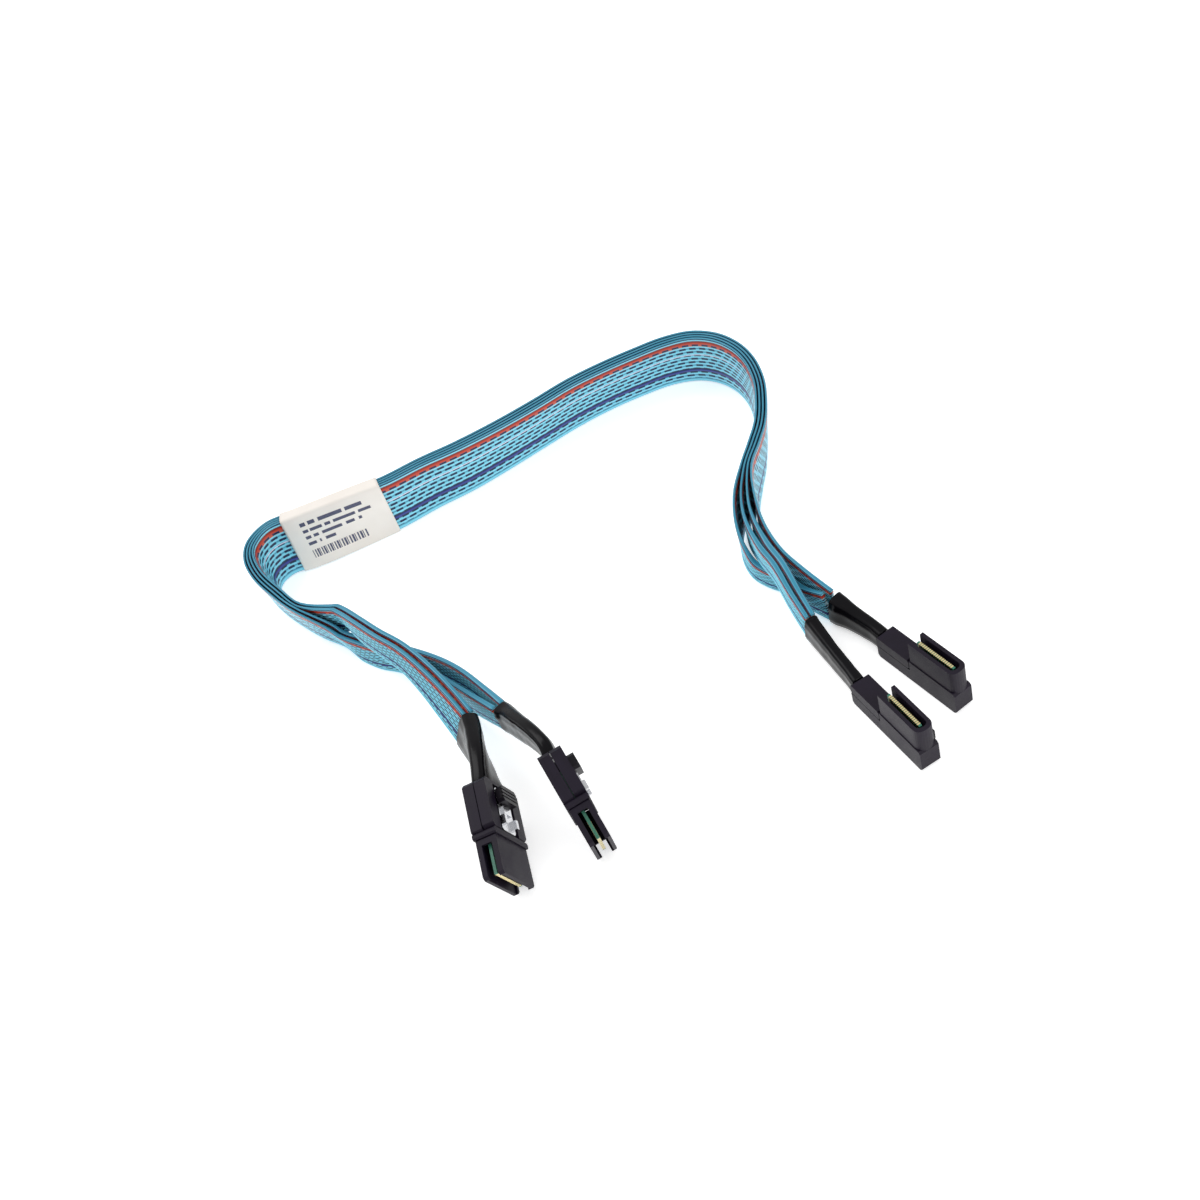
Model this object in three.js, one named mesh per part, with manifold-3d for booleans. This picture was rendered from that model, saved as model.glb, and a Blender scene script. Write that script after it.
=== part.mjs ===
// Mini SAS ribbon cable: four flat ribbons in one stack, two straight plugs and two right-angle plugs.
// Millimetres, +Z up. X runs to the right, Y away from the reader, and the table is z = 0.
import * as THREE from "three";
import { mergeVertices } from "three/addons/utils/BufferGeometryUtils.js";
import Module from "manifold-3d";

const wasm = await Module();
wasm.setup();

// Driving sizes
const RIBBON_WIDTH = 25;
const RIBBON_AREA = 20; // width times thickness, kept when a ribbon bunches up near a plug
const RIBBON_PITCH = 1.25; // from one ribbon to the next in the stack
const STEPS_PER_SPAN = 3;
const LABEL_SHEET = 0.3;
const LABEL_GAP = 0.45;
const BODY_LENGTH = 17; // straight plug, rear face to collar
const COLLAR_LENGTH = 2;
const NOSE_TIP = 32;
const BODY_WIDTH = 21;
const BODY_THICK = 8;
const NOSE_WIDTH = 19.6;
const NOSE_THICK = 7;
const CARD_WIDTH = 15.7;
const CARD_THICK = 1;
const CARD_REAR = 7; // straight plug, from the rear face
const ANGLE_LENGTH = 35; // right-angle plug, along the cable
const ANGLE_HEIGHT = 9;
const ANGLE_THICK = 7;
const ANGLE_NOSE_TOP = 18;
const ANGLE_NOSE_LENGTH = 19.5;
const ANGLE_NOSE_THICK = 6.4;
const PART_GAP = 0.3;

// Poses: point on the table plan or rear centre, then angles in degrees.
const STRAIGHT_A = { at: [-52.6, -71.5, 17.6], heading: -93.6, tilt: 13, roll: 15 };
const STRAIGHT_B = { at: [-30.5, -72.2, 21.6], heading: -78, tilt: 22, roll: 4 };
const ANGLE_A = { at: [82.1, -58.4, 0], heading: -68.8, tilt: 0, roll: 0 };
const ANGLE_B = { at: [67.8, -73.2, 0], heading: -74.7, tilt: 0, roll: 0 };

// The stack's way round the table: x, y of the middle of its bottom edge, then its lean in degrees,
// positive when the top edge leans to the outside of the bend.
const STACK = [
  [-97.6, 37.4, 16],
  [-104.9, 47.5, 13],
  [-111.4, 58.2, 10],
  [-115.6, 68.0, 5],
  [-115.3, 76.0, 1],
  [-108.5, 80.8, 3],
  [-98.0, 80.4, 5],
  [-87.5, 81.2, 4],
  [-75.0, 82.9, 1],
  [-62.0, 84.9, -3],
  [-47.0, 88.7, -5],
  [-32.0, 91.4, -7],
  [-16.0, 96.0, -10],
  [0.0, 101.3, -12],
  [16.0, 106.4, -12],
  [31.0, 109.6, -13],
  [45.0, 111.0, -13],
  [58.0, 111.0, -12],
  [69.5, 107.2, -9],
  [77.6, 99.0, -5],
  [81.8, 88.5, -1],
  [82.6, 77.0, 3],
  [80.4, 64.5, 7],
  [76.6, 53.0, 9],
  [72.6, 42.5, 9],
  [68.0, 33.0, 7],
  [63.4, 22.5, 3],
];

// Each ribbon's loose ends: x, y, z of its middle, width, lean.
// Towards the straight plugs the inner two ribbons cross over the outer two.
const LEFT_ENDS = [
  [
    [-43.6, -43.2, 16, 9.5, 0],
    [-50.8, -30.0, 12, 11, 0],
    [-59.4, -14.2, 8, 12, 0],
    [-65.8, -3.6, 6.4, 12.2, 0],
    [-74.0, 7.0, 6.2, 12.2, 0],
    [-81.5, 13.0, 6.2, 12.2, 0],
    [-87.4, 19.2, 6.3, 12.2, 4],
    [-90.2, 23.1, 6.5, 12.6, 10],
    [-93.6, 27.4, 7.7, 14.8, 16],
  ],
  [
    [-40.9, -41.8, 16, 9.5, 0],
    [-45.4, -32.2, 14.8, 11, 0],
    [-52.2, -18.6, 13.2, 12, 0],
    [-61.0, -4.0, 9, 12, 0],
    [-71.4, 8.2, 6.4, 12.2, 0],
    [-79.4, 14.6, 6.2, 12.2, 0],
    [-85.5, 20.7, 6.3, 12.2, 4],
    [-88.5, 24.4, 6.5, 12.6, 10],
    [-92.0, 28.6, 7.7, 14.8, 16],
  ],
  [
    [-56.4, -42.4, 16.5, 12, -28],
    [-60.3, -31.0, 17.5, 12, -24],
    [-65.2, -18.2, 18.9, 12, -16],
    [-70.8, -5.8, 19.3, 12, -8],
    [-77.0, 4.2, 19.3, 12, -2],
    [-82.6, 13.6, 19.3, 12, 0],
    [-87.0, 21.6, 19.2, 12, 6],
    [-90.2, 26.8, 17.2, 15.0, 14],
  ],
  [
    [-54.0, -41.9, 16.5, 12, -28],
    [-57.9, -30.1, 17.5, 12, -24],
    [-62.8, -17.2, 18.9, 12, -16],
    [-68.6, -4.6, 19.3, 12, -8],
    [-75.2, 5.8, 19.3, 12, -2],
    [-80.7, 14.9, 19.3, 12, 0],
    [-85.2, 22.9, 19.2, 12, 6],
    [-88.6, 28.0, 17.2, 15.0, 14],
  ],
];

// Towards the right-angle plugs the innermost ribbon dips under the middle two.
const RIGHT_ENDS = [
  [
    [62.6, 10.0, 12.3, 24, 2],
    [61.4, -3.0, 11, 20, 0],
    [63.0, -15.0, 9.5, 16, 0],
    [67.2, -25.5, 8.3, 13, 0],
    [72.4, -37.0, 7, 12, 0],
  ],
  [
    [60.4, 10.2, 12.6, 22, 2],
    [59.0, 0.0, 13.4, 15, 0],
    [59.7, -12.0, 13.9, 9.6, 0],
    [61.2, -23.0, 14.2, 9.4, 0],
    [62.3, -33.5, 10, 11, 0],
    [63.3, -43.2, 7.2, 12, 0],
  ],
  [
    [58.2, 10.7, 12.6, 22, 2],
    [56.2, 0.0, 13.4, 15, 0],
    [56.8, -11.5, 13.9, 9.6, 0],
    [58.5, -22.5, 14.0, 9.4, 0],
    [59.7, -33.2, 10, 11, 0],
    [61.1, -43.6, 7.2, 12, 0],
  ],
  [
    [55.9, 11.0, 12.3, 24, 2],
    [53.0, 1.0, 9.3, 16.5, 0],
    [53.6, -7.5, 5.2, 9.8, 0],
    [57.2, -14.3, 4.3, 8.2, 0],
    [62.6, -21.0, 4.3, 8.2, 0],
    [65.6, -29.2, 4.9, 9, 0],
    [70.0, -38.4, 7, 12, 0],
  ],
];

// Sleeves, each from its plug to its mouth: x, y, z, width, lean, thickness.
const SLEEVE_A = [
  [-52.54, -70.6, 17.8, 15, 15, 5.4],
  [-52.4, -68.0, 18.4, 14.6, 13, 5.4],
  [-52.7, -60.0, 18.7, 13.8, 0, 5.8],
  [-53.8, -50.0, 17.4, 13.4, -20, 6.4],
  [-54.75, -43.7, 16.5, 13.4, -28, 6.8],
];
const SLEEVE_B = [
  [-30.69, -71.3, 21.97, 13, 4, 4.8],
  [-31.3, -68.4, 23.1, 12.6, 4, 4.8],
  [-33.8, -62.0, 22.6, 12, 3, 4.8],
  [-37.6, -53.0, 19.6, 11.4, 1, 5.2],
  [-40.1, -46.6, 17.0, 11, 0, 6.0],
  [-41.6, -43.8, 16.1, 11, 0, 6.4],
];
const SLEEVE_C = [
  [81.9, -57.95, 4.7, 8.2, 0, 4.6],
  [80.0, -53.2, 4.9, 9, 0, 4.6],
  [76.2, -46.0, 5.6, 10.4, 0, 5.0],
  [73.4, -41.8, 6.6, 12.4, 0, 6.2],
  [72.3, -39.7, 6.9, 13, 0, 6.6],
];
const SLEEVE_D = [
  [67.65, -72.7, 4.7, 8.2, 0, 4.6],
  [66.6, -67.0, 4.9, 9, 0, 4.4],
  [64.6, -57.0, 5.4, 10.4, 0, 4.4],
  [62.7, -47.0, 6.4, 12, 0, 5.0],
  [62.2, -44.5, 6.8, 12.6, 0, 5.2],
];

// Colours and finishes
const SHELL = { color: 0x2b2530, roughness: 0.5, metalness: 0 };
const BUTTON = { color: 0x1c1a20, roughness: 0.45, metalness: 0 };
const SLEEVE = { color: 0x15141a, roughness: 0.3, metalness: 0 };
const STEEL = { color: 0xc9cbd0, roughness: 0.22, metalness: 1 };
const CARD = { color: 0x2f6b57, roughness: 0.45, metalness: 0 };
const MOULD = { color: 0x26242b, roughness: 0.6, metalness: 0 };
const BLUE = { color: 0x4fa3bd, roughness: 0.4, metalness: 0 };
const PAPER = { color: 0xece6df, roughness: 0.7, metalness: 0 };

// Small modelling helpers
function solid(geometry) {
  const bare = geometry.clone();
  bare.deleteAttribute("normal");
  bare.deleteAttribute("uv");
  const merged = mergeVertices(bare, 1e-4);
  const mesh = new wasm.Mesh({
    numProp: 3,
    vertProperties: merged.attributes.position.array,
    triVerts: new Uint32Array(merged.index.array),
  });
  return new wasm.Manifold(mesh);
}

function geometryOf(body) {
  const mesh = body.getMesh();
  const geometry = new THREE.BufferGeometry();
  geometry.setAttribute("position", new THREE.BufferAttribute(mesh.vertProperties, 3));
  geometry.setIndex(new THREE.BufferAttribute(mesh.triVerts, 1));
  return geometry;
}

function block(x, y, z) {
  const geometry = new THREE.BoxGeometry(x[1] - x[0], y[1] - y[0], z[1] - z[0]);
  geometry.translate((x[0] + x[1]) / 2, (y[0] + y[1]) / 2, (z[0] + z[1]) / 2);
  return solid(geometry);
}

// A slab with cut corners: outline in x and z, thickness along y.
function slab(x, y, z, corner) {
  const shape = new THREE.Shape();
  shape.moveTo(x[0] + corner, z[0]);
  shape.lineTo(x[1] - corner, z[0]);
  shape.lineTo(x[1], z[0] + corner);
  shape.lineTo(x[1], z[1] - corner);
  shape.lineTo(x[1] - corner, z[1]);
  shape.lineTo(x[0] + corner, z[1]);
  shape.lineTo(x[0], z[1] - corner);
  shape.lineTo(x[0], z[0] + corner);
  const geometry = new THREE.ExtrudeGeometry(shape, { depth: y[1] - y[0], bevelEnabled: false });
  geometry.rotateX(Math.PI / 2);
  geometry.translate(0, y[1], 0);
  return solid(geometry);
}

const join = (...bodies) => bodies.reduce((all, body) => all.add(body));
const cut = (body, ...tools) => tools.reduce((left, tool) => left.subtract(tool), body);
const both = (span) => [-span / 2, span / 2];

function meshOf(name, geometry, look) {
  const mesh = new THREE.Mesh(geometry, new THREE.MeshStandardMaterial(look));
  mesh.name = name;
  return mesh;
}

// A smooth row of stations through the given ones.
function smoothRow(points, steps) {
  const row = [];
  const last = points.length - 1;
  for (let i = 0; i < last; i++) {
    const before = points[Math.max(i - 1, 0)];
    const from = points[i];
    const to = points[i + 1];
    const after = points[Math.min(i + 2, last)];
    for (let j = 0; j < steps; j++) {
      const t = j / steps;
      const blend = (a, b, c, d) => {
        const linear = (c - a) * t;
        const square = (2 * a - 5 * b + 4 * c - d) * t * t;
        const cube = (3 * b - a - 3 * c + d) * t * t * t;
        return (2 * b + linear + square + cube) / 2;
      };
      row.push(from.map((_, k) => blend(before[k], from[k], to[k], after[k])));
    }
  }
  row.push(points[last]);
  return row;
}

// Frames along a row: the way the flat side's width points, and the way out of its flat face.
function framesOf(row) {
  return row.map((station, i) => {
    const a = row[Math.max(i - 1, 0)];
    const b = row[Math.min(i + 1, row.length - 1)];
    const along = new THREE.Vector3(b[0] - a[0], b[1] - a[1], b[2] - a[2]).normalize();
    const out = new THREE.Vector3(-along.y, along.x, 0).normalize();
    const lean = THREE.MathUtils.degToRad(station[4]);
    const width = new THREE.Vector3(0, 0, Math.cos(lean)).addScaledVector(out, Math.sin(lean));
    width.addScaledVector(along, -width.dot(along)).normalize();
    const face = new THREE.Vector3().crossVectors(along, width).negate();
    if (face.dot(out) < 0) face.negate();
    return { middle: new THREE.Vector3(station[0], station[1], station[2]), width, face };
  });
}

// A closed skin over a row of equal outlines, each outline a list of [across, outward] pairs.
function loft(row, outlineAt) {
  const frames = framesOf(row);
  const outlines = row.map(outlineAt);
  const count = outlines[0].length;
  const positions = [];
  frames.forEach((frame, i) => {
    for (const [across, outward] of outlines[i]) {
      const point = frame.middle.clone();
      point.addScaledVector(frame.width, across).addScaledVector(frame.face, outward);
      positions.push(point.x, point.y, point.z);
    }
  });
  const faces = [];
  for (let i = 0; i < row.length - 1; i++) {
    for (let j = 0; j < count; j++) {
      const k = (j + 1) % count;
      const here = i * count;
      const next = here + count;
      faces.push(here + j, here + k, next + k, here + j, next + k, next + j);
    }
  }
  const flat = outlines[0].map(([x, y]) => new THREE.Vector2(x, y));
  const shift = (row.length - 1) * count;
  for (const [a, b, c] of THREE.ShapeUtils.triangulateShape(flat, [])) {
    faces.push(a, c, b, a + shift, b + shift, c + shift);
  }
  const geometry = new THREE.BufferGeometry();
  geometry.setAttribute("position", new THREE.Float32BufferAttribute(positions, 3));
  geometry.setIndex(faces);
  return facingOut(geometry);
}

// Turns every face round when the skin is inside out.
function facingOut(geometry) {
  const at = geometry.attributes.position;
  const index = geometry.index.array;
  const corner = (i) => new THREE.Vector3().fromBufferAttribute(at, index[i]);
  let volume = 0;
  for (let i = 0; i < index.length; i += 3) {
    volume += corner(i).dot(corner(i + 1).cross(corner(i + 2)));
  }
  if (volume < 0) {
    for (let i = 0; i < index.length; i += 3) {
      [index[i + 1], index[i + 2]] = [index[i + 2], index[i + 1]];
    }
  }
  return geometry;
}

// Ribbons
function stackPoint(i, offset) {
  const [x, y, degrees] = STACK[i];
  const a = STACK[Math.max(i - 1, 0)];
  const b = STACK[Math.min(i + 1, STACK.length - 1)];
  const length = Math.hypot(b[0] - a[0], b[1] - a[1]);
  const outX = -(b[1] - a[1]) / length;
  const outY = (b[0] - a[0]) / length;
  const lean = THREE.MathUtils.degToRad(degrees);
  const half = RIBBON_WIDTH / 2;
  const side = half * Math.sin(lean) + offset * Math.cos(lean);
  const lift = Math.abs(Math.sin(lean)) * 2.3;
  const height = half * Math.cos(lean) - offset * Math.sin(lean) + lift;
  return [x + outX * side, y + outY * side, height, RIBBON_WIDTH, degrees];
}

function ribbonOutline(station) {
  const a = station[3] / 2;
  const b = RIBBON_AREA / station[3] / 2;
  const c = 0.5 * b;
  return [
    [c - a, b],
    [-a, b - c],
    [-a, c - b],
    [c - a, -b],
    [a - c, -b],
    [a, c - b],
    [a, b - c],
    [a - c, b],
  ];
}

function ribbon(k) {
  const offset = (1.5 - k) * RIBBON_PITCH;
  const middle = STACK.map((_, i) => stackPoint(i, offset));
  const row = smoothRow([...LEFT_ENDS[k], ...middle, ...RIGHT_ENDS[k]], STEPS_PER_SPAN);
  return meshOf(`ribbon_${k + 1}`, loft(row, ribbonOutline), BLUE);
}

// The label folds over the stack's top edge and lies on both outer faces.
function wrapLabel() {
  const row = smoothRow(STACK.map((_, i) => stackPoint(i, 0)), 6).slice(33, 54);
  const high = RIBBON_WIDTH / 2 + LABEL_GAP;
  const low = -RIBBON_WIDTH / 2 + 0.2;
  const side = 1.5 * RIBBON_PITCH + 0.45 + LABEL_GAP;
  const t = LABEL_SHEET;
  const outline = [
    [low, side],
    [high, side],
    [high, -side],
    [low, -side],
    [low, -side - t],
    [high + t, -side - t],
    [high + t, side + t],
    [low, side + t],
  ];
  return meshOf("wrap_label", loft(row, () => outline), PAPER);
}

// Heat-shrink sleeves
function sleeveOutline(station) {
  const a = station[3] / 2;
  const b = station[5] / 2;
  const outline = [];
  for (let i = 0; i < 16; i++) {
    const angle = ((i + 0.5) * Math.PI) / 8;
    const bulge = (v) => Math.sign(v) * Math.abs(v) ** 0.55;
    outline.push([a * bulge(Math.cos(angle)), b * bulge(Math.sin(angle))]);
  }
  return outline;
}

function sleeve(name, stations) {
  return meshOf(name, loft(smoothRow(stations, 3), sleeveOutline), SLEEVE);
}

// A group that stands at a pose: x along the plug, z up its narrow side, y out of the latch face.
function posed({ at, heading, tilt, roll }) {
  const h = THREE.MathUtils.degToRad(heading);
  const t = THREE.MathUtils.degToRad(tilt);
  const r = THREE.MathUtils.degToRad(roll);
  const along = new THREE.Vector3(
    Math.cos(h) * Math.cos(t),
    Math.sin(h) * Math.cos(t),
    -Math.sin(t),
  );
  const side = new THREE.Vector3(-Math.sin(h), Math.cos(h), 0);
  const up = new THREE.Vector3().crossVectors(along, side);
  const z = up.clone().multiplyScalar(Math.cos(r)).addScaledVector(side, -Math.sin(r));
  const y = up.clone().multiplyScalar(Math.sin(r)).addScaledVector(side, Math.cos(r));
  const group = new THREE.Group();
  group.applyMatrix4(new THREE.Matrix4().makeBasis(along, y, z).setPosition(...at));
  return group;
}

// Straight plug
function straightPlug(name, pose) {
  const group = posed(pose);
  const add = (part, body, look) => group.add(meshOf(`${name}_${part}`, geometryOf(body), look));
  const front = BODY_LENGTH + COLLAR_LENGTH;
  const hold = BODY_LENGTH - 0.7; // the spring's front end
  const press = [2.2, 7.4];
  const cavity = both(CARD_WIDTH + 1.3);
  const width = both(BODY_WIDTH);
  const thick = BODY_THICK / 2;
  const base = cut(
    join(
      slab([0, BODY_LENGTH + 0.5], [-thick, -PART_GAP / 2], width, 1.2),
      slab([BODY_LENGTH, front], [-thick, thick], width, 0.5),
      slab([front - 0.5, NOSE_TIP], both(NOSE_THICK), both(NOSE_WIDTH), 0.9),
    ),
    block([front + 1, NOSE_TIP + 1], [-2.4, 2.4], both(CARD_WIDTH + 1.7)),
    block([3, front + 1.5], [-2.6, 2], cavity),
    block([-1, 4], [-2, 2], [-7.4, 7.4]),
  );
  add("base", base, SHELL);

  const cover = cut(
    slab([0, BODY_LENGTH - PART_GAP], [PART_GAP / 2, thick], width, 1.2),
    block([3, BODY_LENGTH + 1], [-1, 1.75], cavity),
    block([-1, 4], [-1, 1.6], [-7.4, 7.4]),
    block([1.2, BODY_LENGTH + 1], [2.25, 5], [-5.4, 5.4]),
  );
  add("cover", cover, SHELL);

  const card = block([CARD_REAR, NOSE_TIP - 1.5], both(CARD_THICK), both(CARD_WIDTH));
  add("card", card, CARD);

  const mould = cut(
    block([3.4, CARD_REAR + 4], [-2.2, 1.4], both(CARD_WIDTH + 0.5)),
    block([CARD_REAR - PART_GAP, CARD_REAR + 5], both(CARD_THICK + 2 * PART_GAP), both(CARD_WIDTH + 2.3)),
  );
  add("mould", mould, MOULD);

  // The spring is held at its front end and its two hooks stand above the cover.
  const latch = join(
    slab([1.8, hold], [3.35, 3.75], [-4.2, 4.2], 0.8),
    block([press[1] + 0.6, hold - 5.7], [3.7, 4.5], [-2.2, 2.2]),
    block([hold - 4.7, hold - 1.7], [3.7, 5.3], [-4.2, -2.8]),
    block([hold - 4.7, hold - 1.7], [3.7, 5.3], [2.8, 4.2]),
  );
  add("latch", latch, STEEL);

  const button = cut(
    slab(press, [4.05, 6.4], [-4.6, 4.6], 0.9),
    block([press[0] + 1.2, press[0] + 1.7], [5.9, 7], [-6, 6]),
    block([press[0] + 2.4, press[0] + 2.9], [5.9, 7], [-6, 6]),
    block([press[0] + 3.6, press[0] + 4.1], [5.9, 7], [-6, 6]),
  );
  add("button", button, BUTTON);
  return group;
}

// Right-angle plug: the cable comes in at x = 0, and the nose points up.
function noseWall(halfThick, start, end) {
  const shape = new THREE.Shape();
  shape.moveTo(start, -halfThick);
  shape.lineTo(end - halfThick * 0.8, -halfThick);
  shape.quadraticCurveTo(end, -halfThick, end, 0);
  shape.quadraticCurveTo(end, halfThick, end - halfThick * 0.8, halfThick);
  shape.lineTo(start, halfThick);
  return shape;
}

function anglePlug(name, pose) {
  const group = posed(pose);
  const add = (part, body, look) => group.add(meshOf(`${name}_${part}`, geometryOf(body), look));
  const thick = ANGLE_THICK / 2;
  const noseStart = ANGLE_LENGTH - ANGLE_NOSE_LENGTH;
  const lidEnd = noseStart - 0.8;
  const cardMiddle = noseStart + 8.9;
  const cardSpan = [cardMiddle - CARD_WIDTH / 2, cardMiddle + CARD_WIDTH / 2];
  const latchMiddle = ANGLE_LENGTH - 9;
  const span = (from, to) => [latchMiddle + from, latchMiddle + to];
  const upright = (shape, z) => {
    const depth = z[1] - z[0];
    const geometry = new THREE.ExtrudeGeometry(shape, { depth, bevelEnabled: false, curveSegments: 6 });
    return solid(geometry.translate(0, 0, z[0]));
  };
  const outer = noseWall(ANGLE_NOSE_THICK / 2, noseStart, ANGLE_LENGTH);
  const inner = noseWall(1.9, noseStart - 2, ANGLE_LENGTH - 1.5);
  const base = cut(
    join(
      slab([0, ANGLE_LENGTH], both(ANGLE_THICK), [0, ANGLE_HEIGHT], 0.8),
      upright(outer, [ANGLE_HEIGHT - 1, ANGLE_NOSE_TOP]),
    ),
    upright(inner, [ANGLE_HEIGHT + 0.5, ANGLE_NOSE_TOP + 1]),
    block([-1, lidEnd + PART_GAP], both(ANGLE_THICK + 1), [4.9, 10]),
    block([-1, noseStart - 0.3], [-2.4, 2.4], [1.6, 9.6]),
    block([cardSpan[0] - 2.05, cardSpan[1] + 0.75], [-1.4, 1.4], [2.5, 10]),
    block(span(-6.5, 6.5), [2.5, 4], [0.7, 9.3]),
  );
  add("base", base, SHELL);

  const lid = cut(
    slab([0, lidEnd], both(ANGLE_THICK), [4.9 + PART_GAP, ANGLE_HEIGHT], 0.6),
    block([-1, 12], [-2.4, 2.4], [5, 7.6]),
  );
  add("cover", lid, SHELL);

  add("card", block(cardSpan, both(CARD_THICK), [3, ANGLE_NOSE_TOP - 1]), CARD);

  const mould = join(
    block([4.5, 11.7], [-2.1, 2.1], [1.9, 7.2]),
    block([11.6, cardSpan[0] - PART_GAP], [-1.1, 1.1], [2.9, 4.6]),
  );
  add("mould", mould, MOULD);

  const latch = join(
    slab(span(-5.8, 5.8), [3.45, 3.85], [1, 8.6], 0.6),
    block(span(-5, -2.6), [3.6, 4.6], [7.4, 8.8]),
    block(span(2.6, 5), [3.6, 4.6], [7.4, 8.8]),
    block(span(-5, -2.6), [3.95, 4.6], [8.7, 10.6]),
    block(span(2.6, 5), [3.95, 4.6], [8.7, 10.6]),
  );
  add("latch", latch, STEEL);

  const button = join(
    slab(span(-4.5, 4.5), [4.15, 5.4], [2.2, 7], 0.8),
    block(span(-3.4, -0.8), [5.3, 6.3], [2.8, 6.4]),
    block(span(0.8, 3.4), [5.3, 6.3], [2.8, 6.4]),
  );
  add("button", button, BUTTON);
  return group;
}

// Assembly
const firm = new THREE.Group();
firm.add(straightPlug("straight_a", STRAIGHT_A));
firm.add(straightPlug("straight_b", STRAIGHT_B));
firm.add(anglePlug("angle_a", ANGLE_A));
firm.add(anglePlug("angle_b", ANGLE_B));
firm.add(sleeve("straight_a_sleeve", SLEEVE_A));
firm.add(sleeve("straight_b_sleeve", SLEEVE_B));
firm.add(sleeve("angle_a_sleeve", SLEEVE_C));
firm.add(sleeve("angle_b_sleeve", SLEEVE_D));

const layout = new THREE.Group();
layout.add(firm);
for (let k = 0; k < 4; k++) layout.add(ribbon(k));
layout.add(wrapLabel());

// The frame's origin is at the foot of the middle of the plugs and sleeves.
const box = new THREE.Box3().setFromObject(firm, true);
const middle = box.getCenter(new THREE.Vector3());
layout.position.set(-middle.x, -middle.y, -box.min.z);

const cable = new THREE.Group();
cable.name = "mini_sas_cable";
cable.add(layout);
export default cable;
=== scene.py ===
# %% [markdown]
# # Mini SAS ribbon cable
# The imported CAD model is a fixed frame: every node is already at its real place and size, in
# metres. This lesson dresses it. The camera and the four ribbons come first, then the sleeves and
# the label, then the plugs, the finishes and the light.

# %% Load the frame
import math

import bpy
from mathutils import Matrix, Vector


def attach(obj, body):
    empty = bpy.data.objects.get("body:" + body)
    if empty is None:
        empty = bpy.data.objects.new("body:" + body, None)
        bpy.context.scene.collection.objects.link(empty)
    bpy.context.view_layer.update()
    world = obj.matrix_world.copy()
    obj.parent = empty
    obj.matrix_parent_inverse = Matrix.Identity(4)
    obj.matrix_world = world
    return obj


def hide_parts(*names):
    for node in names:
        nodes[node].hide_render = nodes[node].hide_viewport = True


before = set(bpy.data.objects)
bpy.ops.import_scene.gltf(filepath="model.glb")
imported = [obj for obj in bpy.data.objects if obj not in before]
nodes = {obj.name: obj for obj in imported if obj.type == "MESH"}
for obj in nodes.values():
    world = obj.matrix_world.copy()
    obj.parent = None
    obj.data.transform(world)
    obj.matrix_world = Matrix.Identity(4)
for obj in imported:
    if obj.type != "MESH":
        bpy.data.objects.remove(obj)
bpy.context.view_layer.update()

MM = 0.001


def new_object(name, data):
    made = bpy.data.objects.new(name, data)
    bpy.context.scene.collection.objects.link(made)
    return made


def nodes_ending(*endings):
    return [node for name, node in nodes.items() if name.endswith(endings)]


# %% [markdown]
# ## The camera
# The view looks down at 45 degrees and is turned by 20 degrees about its own line of sight, so the
# camera's axes are written out instead of aimed with a constraint. The lens was chosen: 45 mm on a
# 36 mm sensor comes close to the photograph's perspective.

# %% Camera
DOWN, TURN = math.radians(45), math.radians(20)
LENS, SENSOR, CLIP_START = 45, 36, 0.01
CAMERA_AT = (-0.019038, -0.297001, 0.3779)
level = Vector((1, 0, 0))
sight = Vector((0, math.cos(DOWN), -math.sin(DOWN)))
below = Vector((0, -math.sin(DOWN), -math.cos(DOWN)))
right = math.cos(TURN) * level + math.sin(TURN) * below
up = math.sin(TURN) * level - math.cos(TURN) * below

camera = new_object("camera", bpy.data.cameras.new("camera"))
camera.data.lens = LENS
camera.data.sensor_width = SENSOR
camera.data.clip_start = CLIP_START
axes = Matrix((right, up, -sight)).transposed().to_4x4()
camera.matrix_world = Matrix.Translation(CAMERA_AT) @ axes
bpy.context.scene.camera = camera
print("camera at", tuple(round(x, 3) for x in camera.matrix_world.translation))

# %% [markdown]
# ## The ribbons' routes
# A flat cable bends easily one way and hardly at all the other, so the four ribbons stand on edge
# and share one wide turn. Each route is a row of stations: x, y, z of the ribbon's middle, its
# width, and how far its top edge leans outwards. The points are the ones the solids were made
# from, in millimetres, so each ribbon lies exactly where its solid lies.

# %% Routes
SHIFT = Vector((-19.038132, 72.938628, 0))  # from the table plan to the frame
WIDTH, AREA, PITCH = 25, 20, 1.25

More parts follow.
